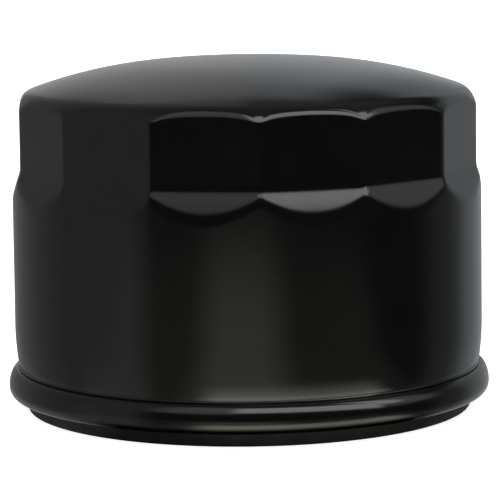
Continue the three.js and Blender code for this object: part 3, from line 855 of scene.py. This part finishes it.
def leaf_spring():
    """The pressed cross above the element: a ring with four leaves, whose curved tips press on the crown."""
    bore, _, foot, top = ring_of("retaining_spring")
    low, high = foot + LEAF_SHEET / 2, top - LEAF_SHEET / 2

    def height(radius):
        share = np.clip((radius - LEAF_ROOT) / (LEAF_KNEE - LEAF_ROOT), 0, 1)
        curl = LEAF_CURL * max(radius - LEAF_KNEE, 0) ** 2
        return low + (high - low) * share ** 2 * (3 - 2 * share) - curl

    def leaf():
        loops = []
        thin = LEAF_SHEET / 2 - 0.01  # so that its faces don't lie in the hub's
        for radius in np.linspace(LEAF_HUB - 3, LEAF_REACH, LEAF_ROWS):
            slope = math.atan((height(radius + 0.01) - height(radius - 0.01)) / 0.02)
            tip = max(radius - LEAF_REACH + LEAF_TIP, 0) / LEAF_TIP
            half = LEAF_WIDTH / 2 * math.sqrt(1 - LEAF_NARROWING * tip ** 2)
            section = rounded([(-half, -thin), (half, -thin), (half, thin), (-half, thin)], 0.12, 3)
            loops.append([(radius - up * math.sin(slope), across, height(radius) + up * math.cos(slope))
                          for across, up in section])
        return skin("leaf", loops, ends="capped")

    hub = turned("leaf_spring", rounded([
        (bore, foot), (LEAF_HUB, foot), (LEAF_HUB, foot + LEAF_SHEET), (bore, foot + LEAF_SHEET),
    ], 0.1, 3))
    spring = combined(hub, copies_around(LEAVES, math.radians(45), leaf), "UNION")
    fixed(spring, "retaining_spring")
    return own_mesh(spring)


# ---- Floor, light and camera ---------------------------------------------------------------------

FLOOR_GLOW = 0.75  # the floor is backlit, so that it has hardly any shadow
FLOOR_FAR, LIT_FAR = 4.0, 0.4  # metres from the filter to the edges of the floor and of its lit patches
FLOOR_DROP, LIT_DROP = 0.00002, 0.00001  # metres by which each lies below the filter's foot


def level_square(name, far, drop):
    """A level square round the filter, a little below its foot."""
    mesh = bpy.data.meshes.new(name)
    mesh.from_pydata([(-far, -far, 0), (far, -far, 0), (far, far, 0), (-far, far, 0)], [], [(0, 1, 2, 3)])
    square = shown(name, mesh)
    square.location.z = -drop
    return square


def floor():
    """A plain pale floor, which only the camera and soft light see."""
    ground = level_square("floor", FLOOR_FAR, FLOOR_DROP)
    ground.visible_glossy = False
    finish = Finish("floor_paper", Metallic=0.0, Roughness=0.9, Specular_IOR_Level=0.1,
                    Emission_Color=(1, 1, 1, 1), Emission_Strength=FLOOR_GLOW)
    finish.colour(finish.noise(40.0), (0.93, 0.93, 0.93), (0.95, 0.95, 0.95))
    ground.data.materials.append(finish.material)


class Sums:
    """Arithmetic in a node tree."""

    def __init__(self, tree):
        self.nodes, self.links = tree.nodes, tree.links
        self.nodes.clear()

    def of(self, operation, *inputs):
        node = self.nodes.new("ShaderNodeMath")
        node.operation = operation
        for socket, value in zip(node.inputs, inputs):
            if isinstance(value, (int, float)):
                socket.default_value = value
            else:
                self.links.new(value, socket)
        return node.outputs["Value"]

    def ramp(self, value, start, end):
        """0 at start and 1 at end, with a smooth change between."""
        node = self.nodes.new("ShaderNodeMapRange")
        node.interpolation_type = "SMOOTHSTEP"
        node.inputs["From Min"].default_value, node.inputs["From Max"].default_value = start, end
        self.links.new(value, node.inputs["Value"])
        return node.outputs["Result"]

    def window(self, value, low, high, soft):
        """1 from low to high and 0 outside, with soft ends."""
        rise, fall = self.ramp(value, low - soft, low + soft), self.ramp(value, high + soft, high - soft)
        return self.of("MULTIPLY", rise, fall)

    def turn(self, x, y):
        """Degrees round the filter, from the front towards +X."""
        return self.of("DEGREES", self.of("ARCTAN2", x, self.of("MULTIPLY", y, -1)))

    def place(self, output):
        """X, Y and Z of a texture coordinate."""
        axes = self.nodes.new("ShaderNodeSeparateXYZ")
        self.links.new(self.nodes.new("ShaderNodeTexCoord").outputs[output], axes.inputs[0])
        return axes.outputs


# Light on the floor that reflections see: (brightness, turn from, to, softness, radius to, softness), in
# degrees and metres.
FLOOR_LIGHT = (
    (2.0, -13, 44, 5, 0.054, 0.009),
    (0.56, -18, 12, 9, 0.26, 0.12),
    (0.12, 12, 54, 8, 0.25, 0.10),
    (0.12, -58, -18, 10, 0.27, 0.10),
    (0.15, -120, -50, 10, 0.046, 0.004),
    (0.1, 54, 120, 8, 0.046, 0.004),
)
FLOOR_TINT = (1.0, 1.03, 0.86)
FOOT_SHADE = (0.0385, 0.0435)  # radii between which the filter's own shade fades out
FOOT_FRONT = (-40, 50, 7)  # turns between which it lies, and their softness


def floor_light():
    """What reflections see of the floor: lit patches in front, and the filter's own shade at its foot."""
    sheet = level_square("floor_light", LIT_FAR, LIT_DROP)
    sheet.visible_camera = sheet.visible_diffuse = sheet.visible_shadow = False
    material = bpy.data.materials.new("floor_light")
    material.use_nodes = True
    sums = Sums(material.node_tree)
    x, y, _ = sums.place("Object")
    turn = sums.turn(x, y)
    radius = sums.of("SQRT", sums.of("ADD", sums.of("MULTIPLY", x, x), sums.of("MULTIPLY", y, y)))
    total = 0.0
    for bright, low, high, soft, reach, fade in FLOOR_LIGHT:
        patch = sums.of("MULTIPLY", sums.window(turn, low, high, soft),
                        sums.ramp(radius, reach + fade, reach - fade))
        total = sums.of("MULTIPLY_ADD", patch, bright, total)
    shade = sums.of("MULTIPLY", sums.window(turn, *FOOT_FRONT), sums.ramp(radius, *FOOT_SHADE[::-1]))
    clear = sums.of("SUBTRACT", 1.0, shade)
    glow, through, both, output = (sums.nodes.new(kind) for kind in (
        "ShaderNodeEmission", "ShaderNodeBsdfTransparent", "ShaderNodeAddShader", "ShaderNodeOutputMaterial"))
    glow.inputs["Color"].default_value = (*FLOOR_TINT, 1)
    sums.links.new(sums.of("MULTIPLY", total, clear), glow.inputs["Strength"])
    sums.links.new(clear, through.inputs["Color"])
    sums.links.new(glow.outputs[0], both.inputs[0])
    sums.links.new(through.outputs[0], both.inputs[1])
    sums.links.new(both.outputs[0], output.inputs["Surface"])
    sheet.data.materials.append(material)


WHITE = 1.15  # brightness all round for the camera and for soft light
AMBIENT = 0.05  # and for reflections, where they see no panel
COOL = (0.95, 1.0, 1.03)  # tint of what reflections see on the right
COOL_TURN = (75, 120)  # turns between which it comes in

# Panels: (brightness, sides from, to, softness, foot, top, softness). The softbox is flat and faces the
# filter, so that its sides, foot and top are slopes to the front. The others are in degrees of turn and of
# elevation.
SOFTBOX = (3.3, -0.14, 2.3, 0.1, 0.62, 2.0, 0.1)
PANELS = (
    (2.6, 67, 82, 3, 24, 62, 5),  # the softbox's right end, turned inwards
    (0.78, -50, -8, 9, 26, 68, 6),  # glow on its left
    (0.72, 70, 100, 9, 13, 50, 6),  # and on its right
    (0.26, -90, -52, 9, -95, 50, 20),  # grey wall on the left
    (0.18, -215, -90, 9, -95, 50, 20),  # and further round
    (0.36, 124, 172, 12, -95, 30, 4),  # pale wall behind, on the right
    (0.12, 98, 122, 12, -95, 30, 6),  # and its near end
    (0.36, 172, 215, 4, -95, 40, 2),  # backdrop, in two halves
    (0.22, -215, -168, 4, -25, 40, 2),
    (0.15, -215, 215, 1, 45, 95, 12),  # ceiling
)


def studio():
    """White all round for the camera and for soft light, while reflections see the panels."""
    world = bpy.data.worlds.new("studio")
    bpy.context.scene.world = world
    world.use_nodes = True
    world.cycles.sampling_method = "NONE"  # so that reflections see the panels and never the white
    sums = Sums(world.node_tree)
    x, y, z = sums.place("Generated")
    turn, elevation = sums.turn(x, y), sums.of("DEGREES", sums.of("ARCSINE", z))
    ahead = sums.of("MAXIMUM", sums.of("MULTIPLY", y, -1), 0.001)
    across, up = sums.of("DIVIDE", x, ahead), sums.of("DIVIDE", z, ahead)
    total = AMBIENT
    for (sideways, upright), panels in (((across, up), (SOFTBOX,)), ((turn, elevation), PANELS)):
        for bright, low, high, soft, foot, top, fade in panels:
            panel = sums.of("MULTIPLY", sums.window(sideways, low, high, soft),
                            sums.window(upright, foot, top, fade))
            total = sums.of("MULTIPLY_ADD", panel, bright, total)
    rays, mix, tint, background, output = (sums.nodes.new(kind) for kind in (
        "ShaderNodeLightPath", "ShaderNodeMix", "ShaderNodeValToRGB", "ShaderNodeBackground",
        "ShaderNodeOutputWorld"))
    glossy = rays.outputs["Is Glossy Ray"]
    mix.inputs["A"].default_value = WHITE
    sums.links.new(glossy, mix.inputs["Factor"])
    sums.links.new(total, mix.inputs["B"])
    sums.links.new(mix.outputs["Result"], background.inputs["Strength"])
    for element, shade in zip(tint.color_ramp.elements, ((1, 1, 1), COOL)):
        element.color = (*shade, 1)
    sums.links.new(sums.of("MULTIPLY", glossy, sums.ramp(turn, *COOL_TURN)), tint.inputs["Fac"])
    sums.links.new(tint.outputs["Color"], background.inputs["Color"])
    sums.links.new(background.outputs[0], output.inputs["Surface"])


CAMERA_DISTANCE = 0.45075
CAMERA_RISE = math.radians(7.96)
CAMERA_ROLL = math.radians(0.7)
CAMERA_LENS = 205.1
CAMERA_AIM = Vector((0.00037, 0, 0.0244))


def front_camera():
    """A long lens just above the filter, tilted a little clockwise."""
    data = bpy.data.cameras.new("camera")
    data.lens, data.sensor_width = CAMERA_LENS, 36
    data.clip_start, data.clip_end = 0.01, 20
    camera = shown("camera", data)
    camera.rotation_euler = (Matrix.Rotation(math.pi / 2 - CAMERA_RISE, 3, "X")
                             @ Matrix.Rotation(-CAMERA_ROLL, 3, "Z")).to_euler()
    back = Vector((0, -math.cos(CAMERA_RISE), math.sin(CAMERA_RISE)))
    camera.location = CAMERA_AIM + CAMERA_DISTANCE * back
    bpy.context.scene.camera = camera


# ---- Assembly ------------------------------------------------------------------------------------

front_camera()
studio()
floor()
floor_light()

fixed(can_shell(), "can")
fixed(rolled_lid(), "seaming_lid")
fixed(seam_sealant(), "seam_compound")
fixed(gasket_ring(), "base_gasket")
fixed(threaded_base(), "base_plate")
valve_diaphragm()

fixed(cap_dish("lower_cap_dish", "lower_end_cap", 1), "lower_end_cap")
fixed(cap_dish("upper_cap_dish", "upper_end_cap", -1), "upper_end_cap")
fixed(potting_ring("lower_potting_ring", "lower_potting", 1), "lower_potting")
fixed(potting_ring("upper_potting_ring", "upper_potting", -1), "upper_potting")
fixed(paper_pleats(), "pleated_media")
fixed(pleat_clip(), "media_clip")
fixed(perforated_tube(), "centre_tube")

fixed(bypass_gasket(), "bypass_seal")
fixed(cage_cup(), "bypass_cage")
fixed(seat_plate(), "bypass_seat")
fixed(poppet_disc(), "bypass_poppet")
fixed(poppet_pad(), "poppet_facing")
coil_spring()
leaf_spring()

bpy.context.scene.view_settings.view_transform = "Standard"
